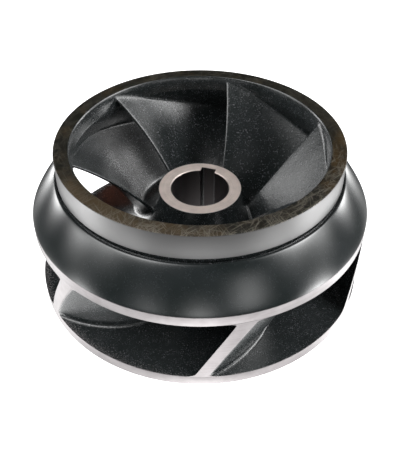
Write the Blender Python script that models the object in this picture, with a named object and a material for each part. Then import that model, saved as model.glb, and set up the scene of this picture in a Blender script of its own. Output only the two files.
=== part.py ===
"""Closed pump impeller, standing on its back shroud with the suction eye up.

The real impeller is one iron casting.  Here its front shroud, its back shroud with the hub, and its six
vanes are separate bodies that meet with a thin gap.  Metres, +Z up along the shaft, the floor at z = 0.
An angle is measured from -Y towards +X.
"""
import math

import bmesh
import bpy
from mathutils import Matrix, Vector

# overall sizes
OUTER_RADIUS = 0.1083
OVERALL_HEIGHT = 0.1013
ROUND_STEPS = 60
CURVE_STEPS = 7
BODY_GAP = 0.0003

# suction neck, its face and the groove under it
NECK_RADIUS = 0.0900
NECK_FACE_INNER_RADIUS = 0.0812
NECK_BOTTOM = 0.0850
NECK_EDGE_CHAMFER = 0.0004
THROAT_RADIUS = 0.0790
THROAT_TOP = 0.0965
THROAT_BOTTOM = 0.0920
THROAT_LIP_LOW = Vector((0.0010, 0.0023))
THROAT_LIP_HIGH = Vector((0.0017, 0.0006))
GROOVE_RADIUS = 0.0886
GROOVE_FLOOR = 0.0815
GROOVE_ROUNDING = 0.0007

# front shroud, a cone with a slight bulge and a turned edge
SHOULDER_RADIUS = 0.0932
SHOULDER_TOP = 0.0834
SHOULDER_BULGE = 0.0008
SHOULDER_LIP_LOW = Vector((0.0022, 0.0017))
SHOULDER_LIP_HIGH = Vector((0.0008, 0.0002))
FRONT_EDGE_TOP = 0.0586
FRONT_EDGE_BOTTOM = 0.0517
FRONT_WALL_PULL_IN = Vector((0.0792, 0.0845))
FRONT_WALL_PULL_OUT = Vector((0.0930, 0.0685))

# hub and back shroud
BORE_RADIUS = 0.0190
BORE_CHAMFER = 0.0006
HUB_RADIUS = 0.0270
HUB_FACE = 0.0642
HUB_SIDE_TOP = 0.0625
HUB_PULL_IN = Vector((0.0290, 0.0320))
HUB_PULL_OUT = Vector((0.0600, 0.0105))
BACK_EDGE_THICKNESS = 0.0071

# shallow cored pocket in the back face
BACK_POCKET_OUTER = Vector((0.0880, 0.0))
BACK_POCKET_PULL_OUTER = Vector((0.0760, 0.0045))
BACK_POCKET_PULL_INNER = Vector((0.0560, 0.0095))
BACK_POCKET_INNER = Vector((0.0420, 0.0140))
BACK_BOSS_RADIUS = 0.0320
BACK_BOSS_ROOT = Vector((0.0355, 0.0130))
BACK_BOSS_NECK = Vector((0.0335, 0.0100))

# keyway
KEYWAY_WIDTH = 0.0100
KEYWAY_DEPTH = 0.0033
KEYWAY_ANGLE = math.radians(164.0)

# vanes
VANE_COUNT = 6
VANE_THICKNESS = 0.0041
VANE_EDGE_THICKNESS = 0.0017
VANE_EDGE_SHARE = 0.26
VANE_TAIL_THICKNESS = 0.0033
VANE_TAIL_DRAFT = 0.0009
VANE_TAIL_START = 0.50
VANE_STEPS_ALONG = 16
VANE_STEPS_ACROSS = 6
VANE_ROOT_DEPTH = 0.0030
VANE_OVERHANG = 0.07
LEADING_SHROUD_HEIGHT = 0.0976
LEADING_HUB_HEIGHT = 0.0480
LEADING_SHROUD_ANGLE = math.radians(106.4)
LEADING_HUB_ANGLE = math.radians(93.9)
LEADING_EDGE_BOW = 0.0030
LEADING_BOW_SKEW = 0.78
LEADING_BOW_SHARE = 0.71
TRAILING_SHROUD_ANGLE = math.radians(14.3)
TRAILING_HUB_ANGLE = math.radians(0.3)
TRAILING_BOW = math.radians(0.44)
SHROUD_SLOW_START = 0.21
HUB_SLOW_START = 0.61

# room that a cutter keeps past what it cuts, and the distance within which points are one
CUTTER_MARGIN = 0.0100
WELD_DISTANCE = 0.00002

IRON_COLOUR = (0.030, 0.034, 0.035, 1.0)
IRON_ROUGHNESS = 0.35
IRON_METALLIC = 0.3


def clear_scene():
    for scene_object in list(bpy.data.objects):
        bpy.data.objects.remove(scene_object, do_unlink=True)


def at_angle(radius, angle, height):
    """A point at a radius and an angle from -Y towards +X."""
    return Vector((radius * math.sin(angle), -radius * math.cos(angle), height))


def bezier(start, pull_start, pull_end, end, steps):
    """Points on a cubic curve in radius and height, both ends included."""
    points = []
    for step in range(steps + 1):
        t = step / steps
        s = 1.0 - t
        points.append(s ** 3 * start + 3 * s * s * t * pull_start + 3 * s * t * t * pull_end + t ** 3 * end)
    return points


def left_of(direction):
    return Vector((-direction.y, direction.x)).normalized()


def bulged(start, end, bulge, steps):
    """Points on a shallow arc that bulges to the left of the way from start to end."""
    along = end - start
    points = []
    for step in range(steps + 1):
        t = step / steps
        points.append(start + along * t + left_of(along) * bulge * 4 * t * (1 - t))
    return points


def beside(points, distance):
    """The polyline that runs at a distance to the left of another one."""
    shifted = []
    for index, point in enumerate(points):
        before = points[max(index - 1, 0)]
        after = points[min(index + 1, len(points) - 1)]
        shifted.append(point + left_of(after - before) * distance)
    return shifted


def front_wall():
    """The water side of the front shroud, from the throat to the outer radius."""
    return bezier(
        Vector((THROAT_RADIUS, THROAT_BOTTOM)),
        FRONT_WALL_PULL_IN,
        FRONT_WALL_PULL_OUT,
        Vector((OUTER_RADIUS, FRONT_EDGE_BOTTOM)),
        CURVE_STEPS,
    )


def hub_wall():
    """The water side of the hub and back shroud, from the hub's top to the outer radius."""
    return bezier(
        Vector((HUB_RADIUS, HUB_SIDE_TOP)),
        HUB_PULL_IN,
        HUB_PULL_OUT,
        Vector((OUTER_RADIUS, BACK_EDGE_THICKNESS)),
        CURVE_STEPS + 2,
    )


def new_object(name, mesh_builder):
    mesh = bpy.data.meshes.new(name)
    mesh_builder.to_mesh(mesh)
    mesh_builder.free()
    solid = bpy.data.objects.new(name, mesh)
    bpy.context.scene.collection.objects.link(solid)
    return solid


def revolve(name, loop, steps=ROUND_STEPS):
    """A closed loop of (radius, height) points, spun a full turn about Z."""
    builder = bmesh.new()
    verts = [builder.verts.new((point[0], 0.0, point[1])) for point in loop]
    edges = [builder.edges.new((verts[i], verts[(i + 1) % len(verts)])) for i in range(len(verts))]
    bmesh.ops.spin(
        builder,
        geom=verts + edges,
        cent=(0.0, 0.0, 0.0),
        axis=(0.0, 0.0, 1.0),
        angle=math.tau,
        steps=steps,
        use_merge=True,
    )
    bmesh.ops.remove_doubles(builder, verts=builder.verts, dist=WELD_DISTANCE)
    bmesh.ops.recalc_face_normals(builder, faces=builder.faces)
    return new_object(name, builder)


def front_shroud():
    """Neck, groove, conical shoulder, turned edge and the throat inside, as one ring."""
    shoulder = bulged(
        Vector((SHOULDER_RADIUS, SHOULDER_TOP)),
        Vector((OUTER_RADIUS, FRONT_EDGE_TOP)),
        SHOULDER_BULGE,
        CURVE_STEPS - 2,
    )
    loop = [
        (NECK_FACE_INNER_RADIUS, OVERALL_HEIGHT),
        (NECK_RADIUS - NECK_EDGE_CHAMFER, OVERALL_HEIGHT),
        (NECK_RADIUS, OVERALL_HEIGHT - NECK_EDGE_CHAMFER),
        (NECK_RADIUS, NECK_BOTTOM),
        (GROOVE_RADIUS, NECK_BOTTOM - GROOVE_ROUNDING),
        (GROOVE_RADIUS, GROOVE_FLOOR + GROOVE_ROUNDING),
        (GROOVE_RADIUS + GROOVE_ROUNDING, GROOVE_FLOOR),
        (SHOULDER_RADIUS - SHOULDER_LIP_LOW.x, SHOULDER_TOP - SHOULDER_LIP_LOW.y),
        (SHOULDER_RADIUS - SHOULDER_LIP_HIGH.x, SHOULDER_TOP - SHOULDER_LIP_HIGH.y),
    ]
    loop += shoulder
    loop += reversed(front_wall())
    loop += [
        (THROAT_RADIUS, THROAT_TOP),
        (THROAT_RADIUS + THROAT_LIP_LOW.x, OVERALL_HEIGHT - THROAT_LIP_LOW.y),
        (THROAT_RADIUS + THROAT_LIP_HIGH.x, OVERALL_HEIGHT - THROAT_LIP_HIGH.y),
    ]
    return revolve("front_shroud", loop)


def back_shroud_and_hub():
    """Hub with its keyed bore, the flaring floor and the cored pocket behind it."""
    pocket = bezier(
        BACK_POCKET_OUTER,
        BACK_POCKET_PULL_OUTER,
        BACK_POCKET_PULL_INNER,
        BACK_POCKET_INNER,
        CURVE_STEPS - 2,
    )
    loop = [
        (BORE_RADIUS, HUB_FACE - BORE_CHAMFER),
        (BORE_RADIUS + BORE_CHAMFER, HUB_FACE),
        (HUB_RADIUS, HUB_FACE),
    ]
    loop += hub_wall()
    loop += [(OUTER_RADIUS, 0.0)]
    loop += pocket
    loop += [
        BACK_BOSS_ROOT,
        BACK_BOSS_NECK,
        (BACK_BOSS_RADIUS, 0.0),
        (BORE_RADIUS + BORE_CHAMFER, 0.0),
        (BORE_RADIUS, BORE_CHAMFER),
    ]
    solid = revolve("back_shroud_and_hub", loop)
    combine(solid, keyway_cutter(), "DIFFERENCE")
    return solid


def keyway_cutter():
    """The broached slot along the bore."""
    builder = bmesh.new()
    bmesh.ops.create_cube(builder, size=1.0)
    reach = BORE_RADIUS + KEYWAY_DEPTH
    length = HUB_FACE + 2 * CUTTER_MARGIN
    bmesh.ops.scale(builder, verts=builder.verts, vec=(KEYWAY_WIDTH, reach, length))
    bmesh.ops.translate(builder, verts=builder.verts, vec=(0.0, -reach / 2, HUB_FACE / 2))
    bmesh.ops.rotate(builder, verts=builder.verts, cent=(0, 0, 0), matrix=Matrix.Rotation(KEYWAY_ANGLE, 3, "Z"))
    return new_object("keyway_cutter", builder)


def water_space():
    """The space that the vanes stand in: between the shrouds, the thin gap kept to both."""
    front = beside([Vector((THROAT_RADIUS, OVERALL_HEIGHT))] + front_wall(), -BODY_GAP)
    hub = beside([Vector((HUB_RADIUS, OVERALL_HEIGHT))] + hub_wall(), BODY_GAP)
    front[-1] = Vector((OUTER_RADIUS, front[-1].y))
    hub[-1] = Vector((OUTER_RADIUS, hub[-1].y))
    return revolve("water_space", front + list(reversed(hub)))


def along_polyline(points, share):
    """The point at a share of the length of a polyline, or past its end."""
    lengths = [(b - a).length for a, b in zip(points, points[1:])]
    left = share * sum(lengths)
    for start, end, length in zip(points, points[1:], lengths):
        if left <= length:
            return start.lerp(end, left / length)
        left -= length
    last = points[-1] - points[-2]
    return points[-1] + last.normalized() * left


def below_height(points, height):
    """The part of a falling polyline that lies below a height."""
    for index, (start, end) in enumerate(zip(points, points[1:])):
        if end.y < height:
            cut = start.lerp(end, (start.y - height) / (start.y - end.y))
            return [cut] + points[index + 1:]
    return points


def vane_lines():
    """The vane's mean line on the front shroud and on the hub, in radius and height."""
    throat = Vector((THROAT_RADIUS, LEADING_SHROUD_HEIGHT))
    return [throat] + front_wall(), below_height(hub_wall(), LEADING_HUB_HEIGHT)


def slow_start(along, amount):
    """The share of its root line that the vane has covered, which grows slower at the leading edge."""
    return max(along, 0.0) * (1.0 - amount * max(0.0, 1.0 - along) ** 3)


def vane_point(shroud_line, hub_line, along, across):
    """A point of the vane's mean surface.

    Along runs from the leading to the trailing edge, and across from the front shroud to the hub.
    """
    shroud = along_polyline(shroud_line, slow_start(along, SHROUD_SLOW_START))
    hub = along_polyline(hub_line, slow_start(along, HUB_SLOW_START))
    shroud_angle = LEADING_SHROUD_ANGLE + (TRAILING_SHROUD_ANGLE - LEADING_SHROUD_ANGLE) * along
    hub_angle = LEADING_HUB_ANGLE + (TRAILING_HUB_ANGLE - LEADING_HUB_ANGLE) * along
    depth = VANE_ROOT_DEPTH / (shroud - hub).length
    reach = -depth + across * (1.0 + 2.0 * depth)
    place = shroud.lerp(hub, reach)
    bow_left = max(0.0, 1.0 - along / LEADING_BOW_SHARE) ** 2
    inside = min(max(reach, 0.0), 1.0)
    place.x -= LEADING_EDGE_BOW * bow_left * math.sin(math.pi * inside ** LEADING_BOW_SKEW)
    angle = shroud_angle + (hub_angle - shroud_angle) * reach
    angle -= TRAILING_BOW * min(along, 1.0) ** 3 * math.sin(math.pi * inside)
    return at_angle(place.x, angle, place.y)


def thickness_share(along, across):
    """The vane's thickness at a place on it, as a share of the greatest.  The tail is thicker at the hub."""
    nose = VANE_EDGE_THICKNESS / VANE_THICKNESS
    tail = (VANE_TAIL_THICKNESS + VANE_TAIL_DRAFT * (across - 0.5)) / VANE_THICKNESS
    from_nose = min(max(along / VANE_EDGE_SHARE, 0.0), 1.0)
    to_tail = min(max((along - VANE_TAIL_START) / (1.0 - VANE_TAIL_START), 0.0), 1.0)
    if along < VANE_TAIL_START:
        return nose + (1.0 - nose) * math.sin(from_nose * math.pi / 2)
    return 1.0 - (1.0 - tail) * (1.0 - math.cos(to_tail * math.pi)) / 2


def vane(name, turn):
    """One vane: its mean surface as a grid, thickened, and trimmed to the space between the shrouds."""
    shroud_line, hub_line = vane_lines()
    builder = bmesh.new()
    bmesh.ops.create_grid(builder, x_segments=VANE_STEPS_ALONG, y_segments=VANE_STEPS_ACROSS, size=0.5)
    shares = {}
    for vert in builder.verts:
        along = (vert.co.x + 0.5) * (1.0 + VANE_OVERHANG)
        across = vert.co.y + 0.5
        shares[vert.index] = thickness_share(along, across)
        vert.co = vane_point(shroud_line, hub_line, along, across)
    bmesh.ops.rotate(builder, verts=builder.verts, cent=(0, 0, 0), matrix=Matrix.Rotation(turn, 3, "Z"))
    solid = new_object(name, builder)
    thinning = solid.vertex_groups.new(name="thickness")
    for index, share in shares.items():
        thinning.add([index], share, "REPLACE")
    thicken = solid.modifiers.new("thickness", "SOLIDIFY")
    thicken.thickness = VANE_THICKNESS
    thicken.offset = 0.0
    thicken.use_even_offset = True
    thicken.vertex_group = thinning.name
    apply_modifiers(solid)
    combine(solid, water_space(), "INTERSECT")
    return solid


def apply_modifiers(solid):
    """Replace an object's mesh by what its modifiers make of it."""
    depsgraph = bpy.context.evaluated_depsgraph_get()
    finished = bpy.data.meshes.new_from_object(solid.evaluated_get(depsgraph))
    solid.modifiers.clear()
    solid.data = finished


def combine(base, tool, operation):
    """Cut a tool from the base, or keep what both share, and drop the tool."""
    boolean = base.modifiers.new("combine", "BOOLEAN")
    boolean.solver = "EXACT"
    boolean.operation = operation
    boolean.object = tool
    apply_modifiers(base)
    bpy.data.objects.remove(tool, do_unlink=True)


def iron():
    material = bpy.data.materials.new("coated_cast_iron")
    material.use_nodes = True
    shader = material.node_tree.nodes["Principled BSDF"]
    shader.inputs["Base Color"].default_value = IRON_COLOUR
    shader.inputs["Roughness"].default_value = IRON_ROUGHNESS
    shader.inputs["Metallic"].default_value = IRON_METALLIC
    return material


def build():
    bodies = [front_shroud(), back_shroud_and_hub()]
    for index in range(VANE_COUNT):
        bodies.append(vane("vane_%d" % (index + 1), index * math.tau / VANE_COUNT))
    coated_iron = iron()
    for body in bodies:
        body.data.materials.clear()
        body.data.materials.append(coated_iron)


clear_scene()
build()
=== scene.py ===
"""Closed pump impeller in a white studio, suction eye up.

One iron casting with a black semi-gloss coating, turned bare at the outer diameter, the vane ends, the
hub's face and the bore.  Metres, +Z up along the shaft, an angle measured from -Y towards +X.
"""
import logging
import math
from dataclasses import dataclass
from enum import Enum
from typing import Callable, ClassVar, Sequence, Union

import bpy
import numpy as np
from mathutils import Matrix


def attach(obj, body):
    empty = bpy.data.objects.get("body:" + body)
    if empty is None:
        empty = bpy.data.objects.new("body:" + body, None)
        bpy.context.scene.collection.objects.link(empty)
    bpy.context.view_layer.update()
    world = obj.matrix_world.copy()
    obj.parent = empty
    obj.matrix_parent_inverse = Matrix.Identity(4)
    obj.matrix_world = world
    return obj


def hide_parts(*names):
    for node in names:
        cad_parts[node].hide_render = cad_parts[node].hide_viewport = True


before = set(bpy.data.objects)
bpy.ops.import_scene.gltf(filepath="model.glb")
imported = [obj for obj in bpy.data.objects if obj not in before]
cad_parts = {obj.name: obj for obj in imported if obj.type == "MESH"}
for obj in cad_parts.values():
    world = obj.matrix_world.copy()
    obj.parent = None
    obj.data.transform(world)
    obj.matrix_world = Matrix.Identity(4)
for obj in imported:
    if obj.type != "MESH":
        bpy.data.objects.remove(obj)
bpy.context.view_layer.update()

LOG = logging.getLogger("impeller")
MM = 0.001
BODY = "root"
WELD_DISTANCE = 0.004 * MM
FULL_TURN_STEPS = 240
ARC_STEPS = 5
TURNED_CREASE_DEGREES = 35
VANE_CREASE_DEGREES = 50
COATING_IOR = 1.75
WHITE = (1.0, 1.0, 1.0)

Point = tuple[float, float]
Colour = tuple[float, float, float]


def mm(first: float, second: float) -> Point:
    """Two sizes in millimetres, as metres."""
    return first * MM, second * MM


TURNED_FROM = mm(108.12, 108.22)


def deselect_all() -> None:
    """Leave nothing selected, so that an operator acts on the new piece alone."""
    if bpy.context.object and bpy.context.object.mode != "OBJECT":
        bpy.ops.object.mode_set(mode="OBJECT")
    bpy.ops.object.select_all(action="DESELECT")


def select_only(piece: bpy.types.Object) -> None:
    """Select one piece and make it active."""
    deselect_all()
    piece.select_set(True)
    bpy.context.view_layer.objects.active = piece


def arithmetic(operation: str) -> Callable[["Wire", "Value"], "Wire"]:
    """A method of Wire that takes one more value into a Math node."""

    def method(self: "Wire", other: "Value") -> "Wire":
        """The node's result."""
        return self.maths(operation, self, other)

    return method


class Wire:
    """An output socket, with arithmetic that adds Math nodes."""

    def __init__(self, bench: "Bench", socket: bpy.types.NodeSocket) -> None:
        """Keep the socket and the bench that its node stands on."""
        self.bench = bench
        self.socket = socket

    def maths(self, operation: str, *values: "Value") -> "Wire":
        """The result of one Math node."""
        return self.bench.node("Math", {"operation": operation}, dict(enumerate(values)))

    def __rsub__(self, other: "Value") -> "Wire":
        """Difference, number first."""
        return self.maths("SUBTRACT", other, self)

    __add__ = __radd__ = arithmetic("ADD")
    __sub__ = arithmetic("SUBTRACT")
    __mul__ = __rmul__ = arithmetic("MULTIPLY")
    __truediv__ = arithmetic("DIVIDE")
    __pow__ = arithmetic("POWER")
    greater = arithmetic("MAXIMUM")

    def rise(self, low: float, high: float) -> "Wire":
        """A smooth step from 0 at low to 1 at high, or down to 0 at low where high is below it."""
        if low > high:
            return 1.0 - self.rise(high, low)
        return self.bench.node(
            "MapRange",
            {"interpolation_type": "SMOOTHSTEP"},
            {"Value": self, "From Min": low, "From Max": high},
        )


Value = Union[Wire, float, Colour, tuple]


class Bench:
    """A node tree to lay out a material on."""

    def __init__(self, tree: bpy.types.NodeTree) -> None:
        """Start from an empty tree."""
        self.tree = tree
        tree.nodes.clear()

    def node(self, kind: str, settings: dict | None = None, sockets: dict | None = None,
             output: int | str = 0) -> Wire:
        """Add a node.

        Args:
            kind: the node's type, without the ShaderNode that every one starts with.
            settings: its settings, set first.
            sockets: values or wires by input name or number.
            output: the output wanted.

        Returns:
            The output.
        """
        made = self.tree.nodes.new("ShaderNode" + kind)
        for name, value in (settings or {}).items():
            setattr(made, name, value)
        for name, value in (sockets or {}).items():
            if isinstance(value, Wire):
                self.tree.links.new(value.socket, made.inputs[name])
            elif isinstance(value, tuple) and made.inputs[name].type == "RGBA":
                made.inputs[name].default_value = (*value[:3], 1.0)
            else:
                made.inputs[name].default_value = value
        return Wire(self, made.outputs[output])

    def show(self, kind: str, surface: Wire) -> None:
        """End the tree in an output node."""
        self.tree.links.new(surface.socket, self.tree.nodes.new("ShaderNode" + kind).inputs["Surface"])

    def place(self) -> Wire:
        """The point on the piece, in metres."""
        return self.node("TexCoord", output="Object")

    def split(self, vector: Wire) -> tuple[Wire, Wire, Wire]:
        """The three parts of a vector."""
        return tuple(self.node("SeparateXYZ", sockets={0: vector}, output=axis) for axis in range(3))

    def join(self, x: Value, y: Value, z: Value) -> Wire:
        """A vector from three numbers."""
        return self.node("CombineXYZ", sockets={0: x, 1: y, 2: z})

    def noise(self, vector: Wire, scale: float, detail: float = 2.0, roughness: float = 0.5) -> Wire:
        """Noise about 0.5 wide, with features of about 1 / scale metres."""
        sockets = {"Vector": vector, "Scale": scale, "Detail": detail, "Roughness": roughness}
        return self.node("TexNoise", sockets=sockets)

    def blend(self, mask: Value, under: Value, over: Value) -> Wire:
        """Mix two colours by a mask."""
        return self.node("Mix", {"data_type": "RGBA"}, {0: mask, 6: under, 7: over}, output=2)


@dataclass
class Skin:
    """What a surface looks like: each field is a wire or a constant; height is in metres."""

    colour: Value
    roughness: Value
    metallic: Value
    height: Value

    def under(self, mask: Wire, top: "Skin") -> "Skin":
        """Cover a skin by another one where a mask is 1.

        Args:
            mask: the cover's mask.
            top: the skin that covers this one.

        Returns:
            The skin of both.
        """
        return Skin(
            mask.bench.blend(mask, self.colour, top.colour),
            self.roughness + (top.roughness - self.roughness) * mask,
            mask * top.metallic + (1.0 - mask) * self.metallic,
            mask * top.height + (1.0 - mask) * self.height,
        )


@dataclass(frozen=True)
class Ground:
    """The coordinates that finishes share on one bench."""

    bench: Bench
    place: Wire
    x: Wire
    y: Wire
    z: Wire
    radius: Wire

    @staticmethod
    def lay(bench: Bench) -> "Ground":
        """Read the point and its radius."""
        place = bench.place()
        x, y, z = bench.split(place)
        radius = (x * x + y * y) ** 0.5
        return Ground(bench, place, x, y, z, radius)


@dataclass(frozen=True)
class BlackCoating:
    """The semi-gloss black coating over the cast skin."""

    colour: Colour = (0.013, 0.017, 0.017)
    light_colour: Colour = (0.020, 0.024, 0.025)
    fleck: Colour = (0.13, 0.13, 0.14)
    roughness: float = 0.24
    smooth_roughness: float = 0.15
    roughness_spread: float = 0.10
    grain_scale: float = 1500.0
    grain_depth: float = 0.050 * MM
    lump_scale: float = 260.0
    lump_depth: float = 0.09 * MM
    cloud_scale: float = 45.0
    cloud_edges: Point = (0.35, 0.7)
    fleck_grain: Point = (0.56, 0.66)
    fleck_lumps: Point = (0.35, 0.60)
    grain_roughness: float = 0.08

    def skin(self, ground: Ground, smooth_place: Value = 0.0) -> Skin:
        """Lay the coating.

        Args:
            ground: shared coordinates.
            smooth_place: 1 where the cast skin under the coating is smooth.

        Returns:
            The coating's skin.
        """
        bench = ground.bench
        lumps = bench.noise(ground.place, self.lump_scale, 2.0)
        grain = bench.noise(ground.place, self.grain_scale, 3.0, 0.6)
        cloud = bench.noise(ground.place, self.cloud_scale, 3.0)
        grainy = 1.0 - smooth_place
        height = (lumps * self.lump_depth + grain * self.grain_depth) * grainy
        spread = (cloud - 0.5) * self.roughness_spread + (grain - 0.5) * self.grain_roughness
        base = bench.blend(cloud.rise(*self.cloud_edges), self.colour, self.light_colour)
        flecks = grain.rise(*self.fleck_grain) * lumps.rise(*self.fleck_lumps) * grainy
        return Skin(
            bench.blend(flecks, base, self.fleck),
            self.smooth_roughness + (spread + (self.roughness - self.smooth_roughness)) * grainy,
            0.0,
            height,
        )


@dataclass(frozen=True)
class TurnedIron:
    """Bare iron with the fine rings of the lathe."""

    colour: Colour = (0.215, 0.203, 0.205)
    dark_colour: Colour = (0.165, 0.153, 0.155)
    roughness: float = 0.40
    metallic: float = 1.0
    ring_pitch: float = 0.35 * MM
    ring_depth: float = 0.004 * MM
    ring_drift: float = 3.0
    ring_roughness: float = 0.15
    ring_share: float = 0.6
    cloud_scale: float = 160.0
    cloud_edges: Point = (0.35, 0.6)

    def skin(self, ground: Ground, travel: Wire) -> Skin:
        """Turn the iron.

        Args:
            ground: shared coordinates.
            travel: where the tool is along its feed, in metres.

        Returns:
            The bare iron's skin.
        """
        bench = ground.bench
        feed = bench.join(
            ground.x * self.ring_drift, ground.y * self.ring_drift, travel * (1.0 / self.ring_pitch))
        rings = bench.noise(feed, 1.0, 2.0, 0.6)
        cloud = bench.noise(ground.place, self.cloud_scale, 3.0)
        light = rings * self.ring_share + cloud * (1.0 - self.ring_share)
        return Skin(
            bench.blend(light.rise(*self.cloud_edges), self.dark_colour, self.colour),
            self.roughness + (rings - 0.5) * self.ring_roughness,
            self.metallic,
            rings * self.ring_depth,
        )


@dataclass(frozen=True)
class WornFace:
    """The neck's turned face, darkened, rust-stained and scratched by its seal."""

    colour: Colour = (0.008, 0.008, 0.006)
    brown: Colour = (0.045, 0.028, 0.010)
    scratch: Colour = (0.25, 0.23, 0.19)
    radius: float = 85.6 * MM
    cloud_scale: float = 60.0
    mottle_scale: float = 600.0
    rusty_left: float = -28.0
    rusty_right: float = 76.0
    scratched: float = 22.0
    rust_edges: Point = (0.50, 0.72)
    roughness: float = 0.24
    mottle_roughness: float = 0.16
    rust_roughness: float = 0.14
    mottle_height: float = 0.010 * MM
    scratch_height: float = -0.01 * MM
    scratch_metal: float = 0.6
    scratch_slants: tuple[Point, ...] = (
        (0.5, 3.1), (-0.9, 7.7), (1.35, 12.3), (2.3, 21.0), (0.0, 33.0), (-0.4, 41.0))
    scratch_across: float = 1500.0
    scratch_along: float = 75.0
    scratch_edges: Point = (0.61, 0.70)

    def skin(self, ground: Ground) -> Skin:
        """Lay the face."""
        bench = ground.bench
        cloud = bench.noise(ground.place, self.cloud_scale, 4.0, 0.6)
        mottle = bench.noise(ground.place, self.mottle_scale, 3.0, 0.7)
        front_left = self.towards(ground, self.rusty_left).rise(0.72, 0.97)
        right = self.towards(ground, self.rusty_right).rise(0.86, 0.99)
        reddish_brown = cloud * 0.6 + mottle * 0.4 + front_left * 0.20 + right * 0.14
        base = bench.blend(reddish_brown.rise(*self.rust_edges), self.colour, self.brown)
        often = 0.25 + self.towards(ground, self.scratched).rise(0.2, 1.0) * 0.75
        scratches = self.scratches(ground) * often
        return Skin(
            bench.blend(scratches, base, self.scratch),
            self.roughness + mottle * self.mottle_roughness + front_left * self.rust_roughness,
            scratches * self.scratch_metal,
            scratches * self.scratch_height + mottle * self.mottle_height,
        )

    def towards(self, ground: Ground, degrees: float) -> Wire:
        """How far a point lies on the side of an angle from -Y towards +X, from -1 to 1."""
        angle = math.radians(degrees)
        return (ground.x * math.sin(angle) - ground.y * math.cos(angle)) / self.radius

    def scratches(self, ground: Ground) -> Wire:
        """Fine lines that cross the face at several slants."""
        bench = ground.bench
        marks = None
        for slant, seed in self.scratch_slants:
            across = (ground.x * math.cos(slant) + ground.y * math.sin(slant)) * self.scratch_across
            along = (ground.y * math.cos(slant) - ground.x * math.sin(slant)) * self.scratch_along
            mark = bench.noise(bench.join(across, along, seed), 1.0, 1.0).rise(*self.scratch_edges)
            marks = mark if marks is None else marks.greater(mark)
        return marks


def turned_outside(skin: Skin, ground: Ground) -> Skin:
    """A skin with the outer diameter turned bare."""
    return skin.under(ground.radius.rise(*TURNED_FROM), TurnedIron().skin(ground, ground.z))


def new_material(name: str) -> tuple[bpy.types.Material, Bench]:
    """A material and the bench of its node tree."""
    material = bpy.data.materials.new(name)
    material.use_nodes = True
    return material, Bench(material.node_tree)


def coated_iron(name: str, lay: Callable[[Ground], Skin]) -> bpy.types.Material:
    """Make a material.

    Args:
        name: its name.
        lay: what builds its skin on a ground.

    Returns:
        The material.
    """
    material, bench = new_material(name)
    skin = lay(Ground.lay(bench))
    sockets = {
        "Base Color": skin.colour,
        "Roughness": skin.roughness,
        "Metallic": skin.metallic,
        "Normal": bench.node("Bump", sockets={"Strength": 1.0, "Distance": 1.0, "Height": skin.height}),
        "IOR": COATING_IOR,
    }
    bench.show("OutputMaterial", bench.node("BsdfPrincipled", sockets=sockets))
    return material


def bezier(start: Point, pull_start: Point, pull_end: Point, end: Point, steps: int) -> list[Point]:
    """Points on a cubic curve.

    Args:
        start: first point, as radius and height.
        pull_start: point that the curve leaves towards.
        pull_end: point that the curve arrives from.
        end: last point.
        steps: number of straight pieces.

    Returns:
        steps + 1 points, both ends included.
    """
    share = np.linspace(0.0, 1.0, steps + 1)[:, None]
    rest = 1.0 - share
    line = rest ** 3 * np.array(start) + share ** 3 * np.array(end)
    line += 3 * rest * share * (rest * np.array(pull_start) + share * np.array(pull_end))
    return [tuple(point) for point in line.tolist()]


def rounded(corner: Point, before: Point, after: Point, radius: float) -> list[Point]:
    """An arc in place of a sharp corner.

    Args:
        corner: the sharp corner.
        before: a point on the line that comes in.
        after: a point on the line that goes out.
        radius: radius of the arc.

    Returns:
        The points of the arc, from the incoming to the outgoing line.
    """
    tip = np.array(corner)
    back = np.array(before) - tip
    back /= np.linalg.norm(back)
    ahead = np.array(after) - tip
    ahead /= np.linalg.norm(ahead)
    half = math.acos(float(np.clip(back @ ahead, -1.0, 1.0))) / 2
    reach = radius / math.tan(half)
    middle = (back + ahead) / np.linalg.norm(back + ahead) * radius / math.sin(half)
    first = back * reach - middle
    last = ahead * reach - middle
    sweep = math.acos(float(np.clip(first @ last, -radius ** 2, radius ** 2)) / radius ** 2)
    points = []
    for step in range(ARC_STEPS + 1):
        share = step / ARC_STEPS
        spoke = (first * math.sin((1 - share) * sweep) + last * math.sin(share * sweep)) / math.sin(sweep)
        points.append(tuple((tip + middle + spoke).tolist()))
    return points


def turn_on_lathe(name: str, profile: Sequence[Point]) -> bpy.types.Object:
    """Extrude a single point along a closed profile and spin it a full turn about Z.

    Args:
        name: name of the piece.
        profile: the closed outline in radius and height, its first point not repeated.

    Returns:
        The turned piece, closed, with its faces outwards.
    """
    deselect_all()
    bpy.ops.mesh.primitive_plane_add(size=MM)
    piece = bpy.context.object
    piece.name = name
    piece.data.name = name
    bpy.ops.object.mode_set(mode="EDIT")
    bpy.ops.mesh.select_all(action="SELECT")
    bpy.ops.mesh.merge(type="CENTER")
    bpy.ops.transform.translate(value=(profile[0][0], 0.0, profile[0][1]))
    for start, end in zip(profile, list(profile[1:]) + [profile[0]]):
        step = (end[0] - start[0], 0.0, end[1] - start[1])
        bpy.ops.mesh.extrude_vertices_move(TRANSFORM_OT_translate={"value": step})
    bpy.ops.mesh.select_all(action="SELECT")
    bpy.ops.mesh.spin(
        steps=FULL_TURN_STEPS, angle=math.tau, center=(0.0, 0.0, 0.0), axis=(0.0, 0.0, 1.0))
    close_up()
    return piece


def close_up() -> None:
    """Merge doubles, turn the faces outwards and leave edit mode."""
    bpy.ops.mesh.select_all(action="SELECT")
    bpy.ops.mesh.remove_doubles(threshold=WELD_DISTANCE)
    bpy.ops.mesh.dissolve_degenerate(threshold=WELD_DISTANCE / 4)
    bpy.ops.mesh.normals_make_consistent(inside=False)
    bpy.ops.object.mode_set(mode="OBJECT")


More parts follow.
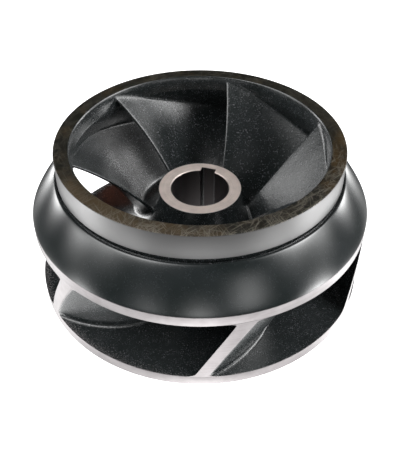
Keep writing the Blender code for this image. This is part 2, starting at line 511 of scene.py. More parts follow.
def smooth(piece: bpy.types.Object, angle: float) -> None:
    """Shade a piece smooth except over edges sharper than an angle in degrees."""
    select_only(piece)
    bpy.ops.object.shade_smooth_by_angle(angle=math.radians(angle))


class Casting:
    finish_name: ClassVar[str]
    nodes: ClassVar[tuple[str, ...]]

    def dress(self) -> list[bpy.types.Object]:
        """Build the pieces, give them their finish and put each in its node's place."""
        material = coated_iron(self.finish_name, self.finish)
        pieces = self.build()
        for piece, node in zip(pieces, self.nodes):
            piece.data.materials.clear()
            piece.data.materials.append(material)
            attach(piece, BODY)
            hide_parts(node)
        return pieces


@dataclass(frozen=True)
class WaterPassage:
    """The two walls that the water runs between, as lines in radius and height."""

    lip_face_radius: float = 81.2 * MM
    lip_top: float = 101.3 * MM
    lip_pull_in: Point = mm(79.85, 100.8)
    lip_pull_out: Point = mm(79.35, 96.0)
    throat: Point = mm(79.0, 92.0)
    outer_radius: float = 108.3 * MM
    front_exit_height: float = 51.7 * MM
    front_pull_in: Point = mm(79.2, 84.5)
    front_pull_out: Point = mm(93.0, 68.5)
    hub_radius: float = 27.0 * MM
    hub_side_top: float = 62.5 * MM
    hub_pull_in: Point = mm(29.0, 32.0)
    hub_pull_out: Point = mm(60.0, 10.5)
    back_exit_height: float = 7.1 * MM
    lip_steps: int = 20
    steps: int = 48

    def lip(self) -> list[Point]:
        """The rounded inner lip, from the neck's face down to the throat."""
        top = (self.lip_face_radius, self.lip_top)
        return bezier(top, self.lip_pull_in, self.lip_pull_out, self.throat, self.lip_steps)

    def front_wall(self) -> list[Point]:
        """The front shroud's water side, from the throat to the outer radius."""
        end = (self.outer_radius, self.front_exit_height)
        return bezier(self.throat, self.front_pull_in, self.front_pull_out, end, self.steps)

    def hub_wall(self) -> list[Point]:
        """The hub's and back shroud's water side, from the hub's top to the outer radius."""
        top = (self.hub_radius, self.hub_side_top)
        end = (self.outer_radius, self.back_exit_height)
        return bezier(top, self.hub_pull_in, self.hub_pull_out, end, self.steps)


class Flow(Enum):
    """The wall that a vane's root stands on."""

    FRONT = "front shroud"
    HUB = "hub and back shroud"


class WallLine:
    """A wall as a dense line, for the distance of a point to it and the nearest place on it."""

    run_on = 20 * MM

    def __init__(self, line: Sequence[Point], water_side: Point) -> None:
        """Extend the line past its end.

        Args:
            line: the wall in radius and height.
            water_side: any point in the water, which gives distances their sign.
        """
        points = np.array(line)
        last = points[-1] - points[-2]
        points = np.vstack([points, points[-1] + last / np.linalg.norm(last) * self.run_on])
        self.starts = points[:-1]
        self.ways = points[1:] - points[:-1]
        self.lengths = np.linalg.norm(self.ways, axis=1)
        self.lefts = np.column_stack([-self.ways[:, 1], self.ways[:, 0]]) / self.lengths[:, None]
        self.sign = 1.0
        self.sign = float(np.sign(self.measure(np.array([water_side]))[0][0]))

    def measure(self, places: np.ndarray) -> tuple[np.ndarray, np.ndarray, np.ndarray]:
        """Compare places with the wall.

        Args:
            places: n rows of radius and height.

        Returns:
            The signed distances, positive in the water, the nearest places on the wall, and the
            wall's unit normals into the water there.
        """
        gap = places[:, None, :] - self.starts[None, :, :]
        share = np.clip((gap * self.ways).sum(axis=2) / self.lengths ** 2, 0.0, 1.0)
        feet = self.starts + self.ways * share[:, :, None]
        apart = np.linalg.norm(places[:, None, :] - feet, axis=2)
        index = apart.argmin(axis=1)
        rows = np.arange(len(places))
        side = ((places - self.starts[index]) * self.lefts[index]).sum(axis=1)
        distance = apart[rows, index] * np.where(side < 0, -1.0, 1.0) * self.sign
        return distance, feet[rows, index], self.lefts[index] * self.sign


def meridian(points: np.ndarray) -> np.ndarray:
    """Radius and height of points in space."""
    return np.column_stack([np.hypot(points[:, 0], points[:, 1]), points[:, 2]])


def at_angle(radius: np.ndarray, angle: np.ndarray, height: np.ndarray) -> np.ndarray:
    """Points at radii and angles from -Y towards +X."""
    return np.stack([radius * np.sin(angle), -radius * np.cos(angle), height], axis=-1)


def angle_of(points: np.ndarray) -> np.ndarray:
    """Angles of points from -Y towards +X."""
    return np.arctan2(points[:, 0], -points[:, 1])


def lengths_along(points: np.ndarray) -> np.ndarray:
    """The length of a line up to each of its points."""
    steps = np.linalg.norm(np.diff(points, axis=0), axis=1)
    return np.concatenate([[0.0], np.cumsum(steps)])


def resampled(points: np.ndarray, count: int) -> np.ndarray:
    """Points spread evenly over the length of a line.

    Args:
        points: n points in space.
        count: number of points wanted.

    Returns:
        The points wanted, the ends kept.
    """
    length = lengths_along(points)
    wanted = np.linspace(0.0, length[-1], count)
    return np.column_stack([np.interp(wanted, length, points[:, axis]) for axis in range(3)])


@dataclass(frozen=True)
class FrontShroud(Casting):
    """Neck, groove, conical shoulder, turned edge and the throat inside."""

    finish_name = "front_shroud_finish"
    nodes = ("front_shroud",)
    passage: WaterPassage
    neck_radius: float = 90.0 * MM
    neck_bottom: float = 85.0 * MM
    neck_edge: float = 0.45 * MM
    neck_foot_rounding: float = 0.2 * MM
    groove_rounding: float = 0.3 * MM
    step_rounding: float = 0.15 * MM
    step_foot_rounding: float = 0.12 * MM
    groove_radius: float = 88.6 * MM
    groove_top: float = 84.3 * MM
    groove_floor: float = 80.9 * MM
    step_low: Point = mm(89.25, 80.9)
    step_top: Point = mm(89.40, 81.75)
    step_outside: Point = mm(89.80, 81.6)
    lip_foot: Point = mm(90.3, 80.8)
    lip_pull_in: Point = mm(90.4, 82.3)
    lip_pull_out: Point = mm(91.1, 82.4)
    shoulder_start: Point = mm(92.1, 81.5)
    shoulder_pull_in: Point = mm(96.4, 77.7)
    shoulder_pull_out: Point = mm(106.4, 63.2)
    edge_top: float = 58.6 * MM
    edge_rounding: float = 0.35 * MM
    exit_rounding: float = 0.12 * MM
    satin_above: Point = mm(84.6, 84.9)
    satin_outside: Point = mm(88.9, 89.3)
    satin_colour: Colour = (0.02, 0.019, 0.019)
    outer_side_slope: float = 0.61
    outer_side_from: Point = mm(140.0, 140.6)
    outer_side_below: Point = mm(83.6, 83.4)
    outer_side_smoothness: float = 0.85
    face_above: Point = mm(101.05, 101.2)
    face_outside: Point = mm(80.9, 81.25)

    def profile(self) -> list[Point]:
        """The closed outline, from the neck's face outwards and down, and back up the throat."""
        outer = self.passage.outer_radius
        face_in = (self.passage.lip_face_radius, self.passage.lip_top)
        neck_edge = (self.neck_radius, self.passage.lip_top)
        neck_foot = (self.neck_radius, self.neck_bottom)
        groove_in = (self.groove_radius, self.groove_top)
        groove_low = (self.groove_radius, self.groove_floor)
        edge_top = (outer, self.edge_top)
        lip = bezier(self.lip_foot, self.lip_pull_in, self.lip_pull_out, self.shoulder_start, 10)
        shoulder = bezier(
            self.shoulder_start, self.shoulder_pull_in, self.shoulder_pull_out, edge_top, 30)
        edge_bottom = (outer, self.passage.front_exit_height)
        wall = list(reversed(self.passage.front_wall()))
        line = [face_in]
        line += rounded(neck_edge, face_in, neck_foot, self.neck_edge)
        line += rounded(neck_foot, neck_edge, groove_in, self.neck_foot_rounding)
        line += rounded(groove_in, neck_foot, groove_low, self.groove_rounding)
        line += rounded(groove_low, groove_in, self.step_low, self.groove_rounding)
        line += [self.step_low]
        line += rounded(self.step_top, self.step_low, self.step_outside, self.step_rounding)
        line += rounded(self.step_outside, self.step_top, self.lip_foot, self.step_foot_rounding)
        line += lip
        line += shoulder[1:-1]
        line += rounded(edge_top, shoulder[-2], edge_bottom, self.edge_rounding)
        line += rounded(edge_bottom, edge_top, wall[1], self.exit_rounding)
        line += wall[1:]
        line += list(reversed(self.passage.lip()))[1:-1]
        return line

    def build(self) -> list[bpy.types.Object]:
        """Turn the shroud and shade it."""
        piece = turn_on_lathe("front_shroud_casting", self.profile())
        smooth(piece, TURNED_CREASE_DEGREES)
        return [piece]

    def finish(self, ground: Ground) -> Skin:
        """Coating, satin neck, worn face and turned edge."""
        bench = ground.bench
        outer_side = (ground.radius + ground.z * self.outer_side_slope).rise(*self.outer_side_from)
        outer_side = outer_side * ground.z.rise(*self.outer_side_below)
        skin = BlackCoating().skin(ground, outer_side * self.outer_side_smoothness)
        on_neck = ground.z.rise(*self.satin_above) * ground.radius.rise(*self.satin_outside)
        satin = Skin(self.satin_colour, 0.30 + bench.noise(ground.place, 90.0) * 0.1, 0.0, 0.0)
        skin = skin.under(on_neck, satin)
        face = ground.z.rise(*self.face_above) * ground.radius.rise(*self.face_outside)
        skin = skin.under(face, WornFace().skin(ground))
        return turned_outside(skin, ground)


@dataclass(frozen=True)
class BackShroud(Casting):
    """Hub with its keyed bore, the flaring floor, the turned rim and the cored pocket behind."""

    finish_name = "back_shroud_finish"
    nodes = ("back_shroud_and_hub",)
    passage: WaterPassage
    bore_radius: float = 19.0 * MM
    bore_chamfer: float = 0.6 * MM
    hub_face: float = 64.2 * MM
    hub_edge: float = 0.5 * MM
    rim_rounding: float = 0.4 * MM
    exit_rounding: float = 0.12 * MM
    pocket_outer: Point = (88.0 * MM, 0.0)
    pocket_pull_outer: Point = mm(76.0, 4.5)
    pocket_pull_inner: Point = mm(56.0, 9.5)
    pocket_inner: Point = mm(42.0, 14.0)
    boss_pull_root: Point = mm(37.5, 14.8)
    boss_pull_side: Point = mm(33.5, 10.0)
    boss_side: Point = mm(32.8, 5.0)
    boss_radius: float = 32.0 * MM
    keyway_width: float = 10.0 * MM
    keyway_depth: float = 3.3 * MM
    keyway_angle: float = math.radians(164.0)
    # A reddish-brown patch on the floor of one passage, at the back left.
    reddish_brown: Colour = (0.080, 0.030, 0.019)
    brown_patch_place: Point = mm(-57.0, 62.0)
    brown_patch_reach: Point = mm(28.0, 15.0)
    brown_patch_below: Point = mm(24.0, 18.0)
    flaked_from: Point = mm(96.0, 108.3)
    flaked_above: Point = mm(4.0, 6.0)
    flaked_edges: Point = (0.83, 0.86)
    chipped_from: Point = mm(108.0, 108.15)
    chip_spread: float = 2.4 * MM
    bore_inside: Point = mm(22.7, 22.5)
    # Painted shade: the colour of the far side of the bore, seen down the hole.
    painted_bore_shade: Colour = (0.03, 0.027, 0.027)
    bore_shade_behind: Point = mm(6.0, 17.0)
    face_inside: Point = mm(26.9, 26.6)
    face_above: Point = mm(63.55, 63.75)

    def profile(self) -> list[Point]:
        """The closed outline, from the bore over the hub's face, down the floor and back underneath."""
        passage = self.passage
        wall = passage.hub_wall()
        hub_corner = (passage.hub_radius, self.hub_face)
        chamfer_top = (self.bore_radius + self.bore_chamfer, self.hub_face)
        rim_top = (passage.outer_radius, passage.back_exit_height)
        rim_foot = (passage.outer_radius, 0.0)
        pocket = bezier(
            self.pocket_outer, self.pocket_pull_outer, self.pocket_pull_inner, self.pocket_inner, 24)
        boss = bezier(self.pocket_inner, self.boss_pull_root, self.boss_pull_side, self.boss_side, 12)
        boss_foot = (self.boss_radius, 0.0)
        bore_foot = (self.bore_radius, 0.0)
        line = [(self.bore_radius, self.hub_face - self.bore_chamfer), chamfer_top]
        line += rounded(hub_corner, chamfer_top, wall[0], self.hub_edge)
        line += wall[:-1]
        line += rounded(rim_top, wall[-2], rim_foot, self.exit_rounding)
        line += rounded(rim_foot, rim_top, self.pocket_outer, self.rim_rounding)
        line += pocket
        line += boss[1:]
        line += rounded(boss_foot, boss[-1], bore_foot, self.rim_rounding)
        line += [(self.bore_radius + self.bore_chamfer, 0.0), (self.bore_radius, self.bore_chamfer)]
        return line

    def keyway(self) -> bpy.types.Object:
        """The broach that cuts the keyway, a little longer than the bore."""
        deselect_all()
        reach = self.bore_radius + self.keyway_depth
        bpy.ops.mesh.primitive_cube_add(size=1.0)
        broach = bpy.context.object
        bpy.ops.object.mode_set(mode="EDIT")
        bpy.ops.mesh.select_all(action="SELECT")
        bpy.ops.transform.resize(value=(self.keyway_width, reach, self.hub_face * 2))
        bpy.ops.transform.translate(value=(0.0, -reach / 2, self.hub_face / 2))
        bpy.ops.transform.rotate(value=-self.keyway_angle, orient_axis="Z", center_override=(0.0, 0.0, 0.0))
        bpy.ops.object.mode_set(mode="OBJECT")
        return broach

    def build(self) -> list[bpy.types.Object]:
        """Turn the shroud with its hub, broach the keyway and shade the piece."""
        piece = turn_on_lathe("back_shroud_casting", self.profile())
        broach = self.keyway()
        select_only(piece)
        cut = piece.modifiers.new("keyway", "BOOLEAN")
        cut.operation = "DIFFERENCE"
        cut.solver = "EXACT"
        cut.object = broach
        bpy.ops.object.modifier_apply(modifier=cut.name)
        bpy.data.objects.remove(broach, do_unlink=True)
        smooth(piece, TURNED_CREASE_DEGREES)
        return [piece]

    def finish(self, ground: Ground) -> Skin:
        """Coating with a reddish-brown patch and flaked edge, turned rim, bore with painted shade, and hub
        face.
        """
        bench = ground.bench
        skin = BlackCoating().skin(ground)
        ragged = bench.noise(ground.place, 520.0, 4.0, 0.65)
        # A reddish-brown patch on the floor of one passage, at the back left.
        skin.colour = bench.blend(self.brown_patch(ground, ragged), skin.colour, self.reddish_brown)
        rim = self.bared(ground, ragged)
        skin = skin.under(rim, TurnedIron().skin(ground, ground.z))
        bore = TurnedIron().skin(ground, ground.z)
        # Painted shade: the far (+Y) side of the bore is darkened, as seen down the hole.
        bore.colour = bench.blend(ground.y.rise(*self.bore_shade_behind), bore.colour, self.painted_bore_shade)
        skin = skin.under(ground.radius.rise(*self.bore_inside), bore)
        hub = ground.radius.rise(*self.face_inside) * ground.z.rise(*self.face_above)
        face = TurnedIron((0.80, 0.69, 0.63), (0.60, 0.51, 0.47), roughness=0.50, metallic=0.45)
        return skin.under(hub, face.skin(ground, ground.radius))

    def brown_patch(self, ground: Ground, ragged: Wire) -> Wire:
        """The mask of the reddish-brown patch on the floor of one passage."""
        away_x = ground.x - self.brown_patch_place[0]
        away_y = ground.y - self.brown_patch_place[1]
        near = ((away_x * away_x + away_y * away_y) ** 0.5).rise(*self.brown_patch_reach)
        return near * ground.z.rise(*self.brown_patch_below) * ragged.rise(0.2, 0.6)

    def bared(self, ground: Ground, ragged: Wire) -> Wire:
        """The mask of the turned rim, with the flakes beside it, which are more on the -X side."""
        specks = ground.bench.noise(ground.place, 1100.0, 3.0, 0.7)
        flaked_side = 0.24 - ground.x * 1.1
        flaking = specks + ground.radius.rise(*self.flaked_from) * flaked_side
        flakes = flaking.rise(*self.flaked_edges) * ground.z.rise(*self.flaked_above)
        chips = (ground.radius + (ragged - 0.5) * self.chip_spread).rise(*self.chipped_from)
        return chips.greater(flakes).greater(ground.radius.rise(*TURNED_FROM))


@dataclass(frozen=True)
class Vane(Casting):
    """One twisted, back-swept vane with its filleted roots, and its copies round the axis."""

    finish_name = "vane_finish"
    nodes = tuple("vane_%d" % number for number in range(1, 7))
    passage: WaterPassage
    thickness: float = 4.1 * MM
    edge_thickness: float = 1.7 * MM
    edge_share: float = 0.26
    tail_thickness: float = 3.3 * MM
    tail_draft: float = 0.9 * MM
    tail_start: float = 0.50
    nose_share: float = 0.011
    leading_shroud_height: float = 97.6 * MM
    leading_hub_height: float = 48.0 * MM
    leading_shroud_angle: float = math.radians(106.4)
    leading_hub_angle: float = math.radians(93.9)
    bow: float = 3.0 * MM
    bow_skew: float = 0.78
    bow_share: float = 0.71
    trailing_shroud_angle: float = math.radians(14.3)
    trailing_hub_angle: float = math.radians(0.3)
    trailing_bow: float = math.radians(0.44)
    shroud_slow_start: float = 0.21
    hub_slow_start: float = 0.61
    shroud_fillet: float = 2.2 * MM
    hub_fillet: float = 3.2 * MM
    overhang: float = 0.25
    sunk: float = 0.04 * MM
    root_depth: float = 1.0 * MM
    seam_inset: float = 0.3 * MM
    run_on: float = 40 * MM
    past_walls: float = 0.12
    in_water: Point = mm(60, 60)
    coating: BlackCoating = BlackCoating(roughness=0.21, grain_scale=1000.0, grain_depth=0.150 * MM)
    dense_columns: int = 130
    dense_rows: int = 150
    side_columns: int = 56
    nose_columns: int = 13
    cap_columns: int = 9
    fillet_rows: int = 7
    face_rows: int = 20

    def root_line(self, flow: Flow) -> np.ndarray:
        """The mean line of a root.

        Args:
            flow: the wall that the root stands on.

        Returns:
            Points in radius and height from the leading edge to the outer radius.
        """
        if flow is Flow.FRONT:
            lip = [point for point in self.passage.lip() if point[1] < self.leading_shroud_height]
            return np.array(lip + self.passage.front_wall()[1:])
        wall = np.array(self.passage.hub_wall())
        return wall[wall[:, 1] < self.leading_hub_height]

    def along_root(self, flow: Flow, share: np.ndarray) -> np.ndarray:
        """Points at shares of a root's length, run on past its end."""
        line = self.root_line(flow)
        last = line[-1] - line[-2]
        line = np.vstack([line, line[-1] + last / np.linalg.norm(last) * self.run_on])
        length = lengths_along(line)
        wanted = share * length[-2]
        return np.stack([np.interp(wanted, length, line[:, axis]) for axis in range(2)], axis=-1)

    @staticmethod
    def share_along(along: np.ndarray, slow_start: float) -> np.ndarray:
        """The share of a root's length that the vane has covered, where it may start slowly."""
        return along * (1.0 - slow_start * np.maximum(0.0, 1.0 - along) ** 3)

    def mean_surface(self, along: np.ndarray, across: np.ndarray) -> np.ndarray:
        """Points of the surface half way through the vane.

        Args:
            along: shares of the way from the leading to the trailing edge.
            across: shares of the way from the front shroud to the hub.

        Returns:
            Points in space, shaped like the shares with one more axis.
        """
        shroud = self.along_root(Flow.FRONT, self.share_along(along, self.shroud_slow_start))
        hub = self.along_root(Flow.HUB, self.share_along(along, self.hub_slow_start))
        shroud_angle = self.leading_shroud_angle + (
            self.trailing_shroud_angle - self.leading_shroud_angle) * along
        hub_angle = self.leading_hub_angle + (self.trailing_hub_angle - self.leading_hub_angle) * along
        place = shroud + (hub - shroud) * across[..., None]
        bow_left = np.maximum(0.0, 1.0 - along / self.bow_share) ** 2
        inside = np.clip(across, 0.0, 1.0)
        radius = place[..., 0] - self.bow * bow_left * np.sin(math.pi * inside ** self.bow_skew)
        angle = shroud_angle + (hub_angle - shroud_angle) * across
        angle = angle - self.trailing_bow * np.minimum(along, 1.0) ** 3 * np.sin(math.pi * inside)
        return at_angle(radius, angle, place[..., 1])

    def half_thickness(self, along: np.ndarray, across: np.ndarray) -> np.ndarray:
        """Half the vane's thickness: thin at the nose, full in the middle, tapered to the tail.

        Args:
            along: shares of the way from the leading to the trailing edge.
            across: shares of the way from the front shroud to the hub.

        Returns:
            Half thicknesses, shaped like the shares.
        """
        full = np.sin(np.clip(along / self.edge_share, 0.0, 1.0) * math.pi / 2)
        to_tail = np.clip((along - self.tail_start) / (1.0 - self.tail_start), 0.0, 1.0)
        tail = self.tail_thickness + self.tail_draft * (across - 0.5)
        taper = (1.0 - np.cos(to_tail * math.pi)) / 2 * (self.thickness - tail)
        return (self.edge_thickness + (self.thickness - self.edge_thickness) * full - taper) / 2

    def skin(self) -> tuple[np.ndarray, np.ndarray]:
        """The vane's unfilleted skin from one trailing end round the nose to the other.

        Returns:
            The points, by column round the vane and by dense row across it, and their outward normals.
        """
        side = np.linspace(self.nose_share, 1.0 + self.overhang, self.dense_columns)[1:]
        turn = np.linspace(-math.pi / 2, math.pi / 2, self.nose_columns)
        along = np.concatenate([side[::-1], self.nose_share * (1.0 - np.cos(turn)), side])
        lean = np.concatenate([-np.ones(len(side)), np.sin(turn), np.ones(len(side))])
        across = np.linspace(-self.past_walls, 1.0 + self.past_walls, self.dense_rows)
        columns, rows = np.meshgrid(along, across, indexing="ij")
        half = self.half_thickness(columns, rows)
        small = 0.001
        middle = self.mean_surface(columns, rows)
        by_along = self.mean_surface(columns + small, rows) - self.mean_surface(
            np.maximum(columns - small, 0.0), rows)
        by_across = self.mean_surface(columns, rows + small) - self.mean_surface(columns, rows - small)
        normal = np.cross(by_along, by_across)
        normal /= np.linalg.norm(normal, axis=2, keepdims=True)
        skin = middle + normal * (half * lean[:, None])[..., None]
        outward = np.cross(np.gradient(skin, axis=0), np.gradient(skin, axis=1))
        outward /= np.linalg.norm(outward, axis=2, keepdims=True)
        return skin, outward

    def fillet(self, skin: np.ndarray, outward: np.ndarray, wall: WallLine,
               radius: float) -> tuple[int, np.ndarray]:
        """One root fillet of one column, at the column's end.

        Args:
            skin: the column's points across the vane, the last ones past the wall.
            outward: its outward normals.
            wall: the wall that it meets.
            radius: the fillet's reach up the vane and along the wall.

        Returns:
            How many of the column's points lie past the fillet's start on the vane's face, and the
            fillet's points from the wall to the face.
        """
        distance = wall.measure(meridian(skin))[0]
        middle = len(skin) // 2
        last = middle - 1 + int(np.argmax(distance[middle:] < 0))
        share = distance[last] / (distance[last] - distance[last + 1])
        corner = skin[last] + (skin[last + 1] - skin[last]) * share
        normal = outward[last]
        wall_normal = wall.measure(meridian(corner[None, :]))[2]
        angle = angle_of(corner[None, :])[0]
        wall_up = at_angle(wall_normal[0][0], angle, wall_normal[0][1])
        outwards = normal - wall_up * (normal @ wall_up)
        outwards /= np.linalg.norm(outwards)
        spread = corner + outwards * radius
        _, nearest, up = wall.measure(meridian(spread[None, :]))
        nearest = nearest[0] - up[0] * self.sunk
        spread_angle = angle_of(spread[None, :])[0]
        spread = at_angle(nearest[0], spread_angle, nearest[1])
        path = np.vstack([corner, skin[:last + 1][::-1]])
        lengths = lengths_along(path)
        leave = np.array([np.interp(radius, lengths, path[:, axis]) for axis in range(3)])
        share = np.linspace(0.0, 1.0, self.fillet_rows)[:, None]
        curve = (1 - share) ** 2 * spread + 2 * share * (1 - share) * corner + share ** 2 * leave
        kept = last + 2 - int(np.searchsorted(lengths, radius))
        return len(skin) - kept, curve

    def surface(self) -> np.ndarray:
        """The finished skin: columns round the vane, rows from the front shroud to the hub."""
        skin, outward = self.skin()
        front_line = self.passage.lip() + self.passage.front_wall()[1:]
        front = WallLine(front_line, self.in_water)
        hub = WallLine(self.passage.hub_wall(), self.in_water)
        columns = []
        for points, normals in zip(skin, outward):
            first, top = self.fillet(points[::-1], normals[::-1], front, self.shroud_fillet)
            last, bottom = self.fillet(points, normals, hub, self.hub_fillet)
            face = np.vstack([top[-1], points[first:len(points) - last], bottom[-1]])
            face = resampled(face, self.face_rows + 2)
            columns.append(np.vstack([top[:-1], face, bottom[:-1][::-1]]))
        rows = np.array(columns).transpose(1, 0, 2)
        trimmed = np.array([self.trim(row) for row in rows])
        return self.with_seams(trimmed, front, hub)

    def trim(self, row: np.ndarray) -> np.ndarray:
        """Cut a row off at the outer radius, spread its columns evenly and close its end.

        Args:
            row: points round the vane, from one overhanging end to the other.

        Returns:
            Points round the vane, the turned end face included, the first point repeated at the end.
        """
        outer = self.passage.outer_radius
        middle = len(row) // 2
        nose = self.nose_columns // 2
        sides = []
        for side in (row[:middle - nose + 1][::-1], row[middle + nose:]):
            radius = np.hypot(side[:, 0], side[:, 1])
            index = int(np.argmax(radius > outer))
            share = (outer - radius[index - 1]) / (radius[index] - radius[index - 1])
            end = side[index - 1] + (side[index] - side[index - 1]) * share
            sides.append(resampled(np.vstack([side[:index], end]), self.side_columns))
        start = sides[1][-1]
        finish = sides[0][-1]
        share = np.linspace(0.0, 1.0, self.cap_columns + 2)[1:-1]
        ends = angle_of(np.array([start, finish]))
        cap = at_angle(
            np.full(len(share), outer),
            ends[0] + (ends[1] - ends[0]) * share,
            start[2] + (finish[2] - start[2]) * share,
        )
        ring = [sides[0][::-1], row[middle - nose + 1:middle + nose], sides[1], cap, finish[None, :]]
        return np.vstack(ring)

    def with_seams(self, rows: np.ndarray, front: WallLine, hub: WallLine) -> np.ndarray:
        """Add a row inside each wall, where the two sides of the vane meet in a seam."""
        around = rows.shape[1] - self.cap_columns - 1
        seams = []
        for row, wall in ((rows[0], front), (rows[-1], hub)):
            middle = (row[:around] + row[:around][::-1]) / 2
            _, feet, up = wall.measure(meridian(middle))
            feet = feet - up * self.root_depth
            feet[:, 0] = np.minimum(feet[:, 0], self.passage.outer_radius - self.seam_inset)
            seam = at_angle(feet[:, 0], angle_of(middle), feet[:, 1])
            seams.append(np.vstack([seam, np.repeat(seam[:1], self.cap_columns + 1, axis=0)]))
        return np.concatenate([seams[0][None], rows, seams[1][None]])

    def build(self) -> list[bpy.types.Object]:
        """Model one vane from a grid, then copy and turn it for the others."""
        rows = self.surface()
        height, width = rows.shape[:2]
        deselect_all()
        bpy.ops.mesh.primitive_grid_add(x_subdivisions=width - 1, y_subdivisions=height - 1, size=1.0)
        first = bpy.context.object
        first.name = "vane_casting_1"
        mesh = first.data
        place = np.empty(len(mesh.vertices) * 3)
        mesh.vertices.foreach_get("co", place)
        place = place.reshape(-1, 3)
        column = np.rint((place[:, 0] + 0.5) * (width - 1)).astype(int)
        row = np.rint((place[:, 1] + 0.5) * (height - 1)).astype(int)
        mesh.vertices.foreach_set("co", rows[row, column].astype(np.float32).ravel())
        bpy.ops.object.mode_set(mode="EDIT")
        close_up()
        smooth(first, VANE_CREASE_DEGREES)
        vanes = [first]
        for index in range(1, len(self.nodes)):
            select_only(first)
            bpy.ops.object.duplicate(linked=False)
            copy = bpy.context.object
            copy.name = "vane_casting_%d" % (index + 1)
            bpy.ops.object.mode_set(mode="EDIT")
            bpy.ops.mesh.select_all(action="SELECT")
            bpy.ops.transform.rotate(
                value=-index * math.tau / len(self.nodes), orient_axis="Z", center_override=(0.0, 0.0, 0.0))
            bpy.ops.object.mode_set(mode="OBJECT")
            vanes.append(copy)
        return vanes

    def finish(self, ground: Ground) -> Skin:
        """Grainy coating, and the turned end."""
        return turned_outside(self.coating.skin(ground), ground)


@dataclass(frozen=True)
class Glow:
    """A soft patch of light on the studio's walls, ceiling or table; its angles are in degrees."""

    elevation: float
    azimuth: float
    spread: float
    strength: float

    def light(self, way: Wire) -> Wire:
        """The light that comes from a direction.

        Args:
            way: the direction, as a unit vector.

        Returns:
            The patch's radiance there.
        """
        level = math.radians(self.elevation)
        turn = math.radians(self.azimuth)
        axis = (math.sin(turn) * math.cos(level), -math.cos(turn) * math.cos(level), math.sin(level))
        near = way.bench.node("VectorMath", {"operation": "DOT_PRODUCT"}, {0: way, 1: axis}, "Value")
        fall = (near - 1.0) / math.radians(self.spread) ** 2
        return fall.maths("EXPONENT", fall) * self.strength


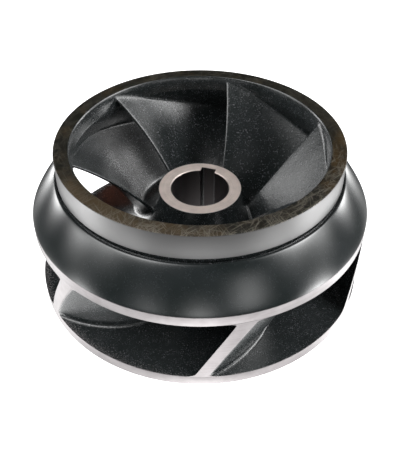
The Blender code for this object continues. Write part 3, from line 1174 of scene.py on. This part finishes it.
@dataclass(frozen=True)
class Studio:
    """The white floor and backdrop, the camera, and the soft lights, each row as a Glow has it."""

    floor_glow: float = 1.9
    floor_radius: float = 3.0
    shade: Colour = (0.05, 0.05, 0.05)
    shade_edge: Point = mm(100, 106)
    dome_radius: float = 2.9
    lens: float = 53.816
    sensor_width: float = 36.0
    near_clip: float = 0.01
    camera_place: tuple[float, float, float] = (0.0, -0.34919, 0.33228)
    camera_tilt: float = math.radians(49.27)
    glows: tuple[tuple[float, ...], ...] = (
        (-64.0, 0.0, 14.0, 8.4), (-44.0, 60.0, 11.0, 5.2), (-44.0, 120.0, 11.0, 5.1),
        (-44.0, 240.0, 11.0, 3.5), (-44.0, 300.0, 11.0, 4.2), (-29.0, 90.0, 8.5, 9.6),
        (-29.0, 270.0, 8.5, 9.2), (-7.0, 72.0, 6.0, 12.0), (-7.0, 144.0, 6.0, 6.3),
        (-7.0, 216.0, 6.0, 8.9), (-7.0, 288.0, 6.0, 4.5), (9.0, 0.0, 6.0, 2.1),
        (9.0, 120.0, 6.0, 11.4), (9.0, 240.0, 6.0, 9.9), (9.0, 330.0, 6.0, 1.0),
        (18.0, 30.0, 7.0, 1.9), (18.0, 90.0, 7.0, 2.5), (18.0, 270.0, 7.0, 3.4),
        (29.0, 72.0, 8.0, 2.3), (29.0, 288.0, 8.0, 1.9), (42.0, 90.0, 10.0, 10.8),
        (42.0, 270.0, 10.0, 3.1), (57.0, 300.0, 11.0, 5.1),
    )

    def build(self) -> None:
        """Set the stage."""
        self.room()
        self.floor()
        self.backdrop()
        self.camera()

    def room(self) -> None:
        """A dim room with soft patches of light around the part."""
        world = bpy.data.worlds.new("studio")
        world.use_nodes = True
        bpy.context.scene.world = world
        bench = Bench(world.node_tree)
        way = bench.node("TexCoord", output="Generated")
        light = Glow(*self.glows[0]).light(way)
        for glow in self.glows[1:]:
            light = light + Glow(*glow).light(way)
        room = bench.node("Background", sockets={"Color": WHITE, "Strength": light})
        bench.show("OutputWorld", room)

    def white_light(self, bench: Bench) -> Wire:
        """The even white glow of the floor and the backdrop."""
        return bench.node("Emission", sockets={"Color": WHITE, "Strength": self.floor_glow})

    def floor(self) -> None:
        """An evenly lit white floor, with a painted shadow under the part, that doesn't show in
        reflections.
        """
        deselect_all()
        bpy.ops.mesh.primitive_circle_add(vertices=96, radius=self.floor_radius, fill_type="NGON")
        floor = bpy.context.object
        floor.name = "studio_floor"
        material, bench = new_material("studio_floor")
        glow = self.white_light(bench)
        # Painted shadow: under the part the floor is dark instead of glowing.
        shade = bench.node("BsdfDiffuse", sockets={"Color": self.shade})
        x, y, _ = bench.split(bench.place())
        open_floor = ((x * x + y * y) ** 0.5).rise(*self.shade_edge)
        surface = bench.node("MixShader", sockets={0: open_floor, 1: shade, 2: glow})
        bench.show("OutputMaterial", surface)
        floor.data.materials.append(material)
        floor.visible_glossy = False

    def backdrop(self) -> None:
        """A plain white dome behind the floor, which lights nothing and shows in no reflection."""
        deselect_all()
        bpy.ops.mesh.primitive_uv_sphere_add(segments=64, ring_count=32, radius=self.dome_radius)
        dome = bpy.context.object
        dome.name = "studio_backdrop"
        material, bench = new_material("studio_backdrop")
        bench.show("OutputMaterial", self.white_light(bench))
        material.cycles.emission_sampling = "NONE"
        dome.data.materials.append(material)
        dome.visible_diffuse = False
        dome.visible_glossy = False
        dome.visible_transmission = False
        dome.visible_shadow = False

    def camera(self) -> None:
        """The photograph's camera."""
        data = bpy.data.cameras.new("camera")
        data.lens = self.lens
        data.sensor_width = self.sensor_width
        data.clip_start = self.near_clip
        camera = bpy.data.objects.new("camera", data)
        camera.location = self.camera_place
        camera.rotation_euler = (self.camera_tilt, 0.0, 0.0)
        bpy.context.scene.collection.objects.link(camera)
        bpy.context.scene.camera = camera


def main() -> None:
    """Build, dress and report every piece, then the studio."""
    logging.basicConfig(level=logging.INFO, format="%(message)s")
    bpy.context.scene.view_settings.view_transform = "Standard"
    passage = WaterPassage()
    for part in (FrontShroud(passage), BackShroud(passage), Vane(passage)):
        for piece in part.dress():
            LOG.info("%s: %d faces", piece.name, len(piece.data.polygons))
    Studio().build()


if __name__ == "__main__":
    main()
